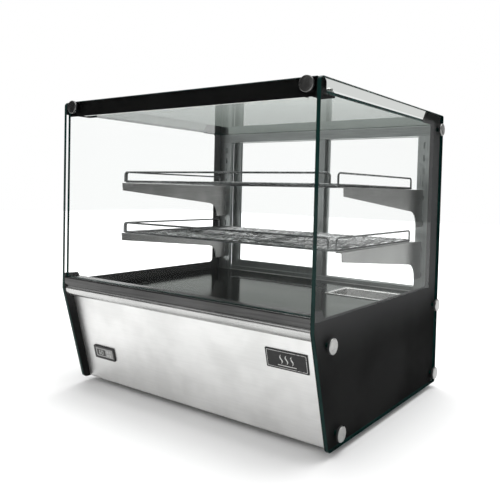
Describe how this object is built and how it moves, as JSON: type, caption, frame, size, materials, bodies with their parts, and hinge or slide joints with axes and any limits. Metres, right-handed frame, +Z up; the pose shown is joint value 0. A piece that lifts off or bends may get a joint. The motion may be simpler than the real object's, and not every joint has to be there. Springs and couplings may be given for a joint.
{
  "type": "heated food display case",
  "caption": "Square glass countertop warming case on a steel base, with wire shelves on hook-in brackets, sliding rear doors, a heated deck and a lift-out water tray.",
  "frame": {"origin": "on the counter, under the middle of the case", "axes": "+X to the customer's right along the front, +Y towards the operator's side with the sliding doors, +Z up"},
  "size_m": [0.7144, 0.6144, 0.686],
  "materials": {
    "black_metal": "satin black",
    "black_plastic": "fine grain",
    "bolt_chrome": "polished cap",
    "bracket_steel": "fine brushed",
    "brushed_steel": "horizontal brushing",
    "clear_glass": "clear tempered glass with printed black borders",
    "cream_plastic": "moulded",
    "display_plastic": "smoked display window",
    "foot_rubber": "matt moulded",
    "green_plastic": "translucent rocker",
    "grey_aluminium": "satin anodised grey",
    "heater_steel": "heat darkened",
    "inner_steel": "mill finish",
    "light_lens": "frosted lens on an aluminium strip",
    "plate_aluminium": "brushed with a black border",
    "polished_steel": "polished",
    "wire_chrome": "bright plated wire"
  },
  "bodies": {
    "case": {"base_pan": "inner_steel", "cable_gland": "black_plastic", "corner_bracket_left": "black_metal", "corner_bracket_right": "black_metal", "deck": "polished_steel", "display_bezel": "black_plastic", "display_face": "display_plastic", "door_track": "grey_aluminium", "fan_frame": "black_plastic", "foot_front_left": "foot_rubber", "foot_front_right": "foot_rubber", "foot_rear_left": "foot_rubber", "foot_rear_right": "foot_rubber", "front_glass": "clear_glass", "front_panel": "brushed_steel", "front_rail": "polished_steel", "glass_bolt_left_front": "bolt_chrome", "glass_bolt_left_front_lower": "bolt_chrome", "glass_bolt_left_front_upper": "bolt_chrome", "glass_bolt_left_rear_lower": "bolt_chrome", "glass_bolt_left_rear_top": "bolt_chrome", "glass_bolt_left_rear_upper": "bolt_chrome", "glass_bolt_right_front": "bolt_chrome", "glass_bolt_right_front_lower": "bolt_chrome", "glass_bolt_right_front_upper": "bolt_chrome", "glass_bolt_right_rear_lower": "bolt_chrome", "glass_bolt_right_rear_top": "bolt_chrome", "glass_bolt_right_rear_upper": "bolt_chrome", "heating_element": "heater_steel", "light_bar": "light_lens", "light_switch_housing": "black_plastic", "name_plate": "plate_aluminium", "power_switch_housing": "black_plastic", "rear_panel": "brushed_steel", "rear_post_left": "grey_aluminium", "rear_post_right": "grey_aluminium", "rear_top_rail": "grey_aluminium", "shelf_bracket_lower_left": "bracket_steel", "shelf_bracket_lower_right": "bracket_steel", "shelf_bracket_upper_left": "bracket_steel", "shelf_bracket_upper_right": "bracket_steel", "side_glass_left": "clear_glass", "side_glass_right": "clear_glass", "side_plate_left": "inner_steel", "side_plate_right": "inner_steel", "terminal_block": "cream_plastic", "thermostat_body": "cream_plastic", "top_glass": "clear_glass"},
    "door_left": {"door_frame_left": "grey_aluminium", "door_glass_left": "clear_glass"},
    "door_right": {"door_frame_right": "grey_aluminium", "door_glass_right": "clear_glass"},
    "shelf_upper": {"wire_shelf_upper": "wire_chrome"},
    "shelf_lower": {"wire_shelf_lower": "wire_chrome"},
    "water_tray": {"water_tray": "polished_steel"},
    "fan_rotor": {"fan_rotor": "black_plastic"},
    "thermostat_knob": {"thermostat_knob": "black_plastic"},
    "power_rocker": {"power_switch_rocker": "green_plastic"},
    "light_rocker": {"light_switch_rocker": "black_plastic"}
  },
  "joints": [
    {"name": "left_door_slide", "type": "slide", "parent": "case", "child": "door_left", "axis": [1, 0, 0], "range_m": [0, 0.3]},
    {"name": "right_door_slide", "type": "slide", "parent": "case", "child": "door_right", "axis": [-1, 0, 0], "range_m": [0, 0.3]},
    {"name": "upper_shelf_lift", "type": "slide", "parent": "case", "child": "shelf_upper", "axis": [0, 0, 1], "range_m": [0, 0.06]},
    {"name": "lower_shelf_lift", "type": "slide", "parent": "case", "child": "shelf_lower", "axis": [0, 0, 1], "range_m": [0, 0.06]},
    {"name": "water_tray_lift", "type": "slide", "parent": "case", "child": "water_tray", "axis": [0, 0, 1], "range_m": [0, 0.06]},
    {"name": "fan_spin", "type": "hinge", "parent": "case", "child": "fan_rotor", "pos_m": [-0.038, 0.147, 0.2227], "axis": [0, 0, 1], "continuous": true},
    {"name": "thermostat_turn", "type": "hinge", "parent": "case", "child": "thermostat_knob", "pos_m": [0.15, 0.306, 0.13], "axis": [0, -1, 0], "range_deg": [0, 270]},
    {"name": "power_rock", "type": "hinge", "parent": "case", "child": "power_rocker", "pos_m": [0.215, 0.3, 0.13], "axis": [1, 0, 0], "range_deg": [0, 16]},
    {"name": "light_rock", "type": "hinge", "parent": "case", "child": "light_rocker", "pos_m": [0.262, 0.3, 0.13], "axis": [1, 0, 0], "range_deg": [0, 16]}
  ]
}
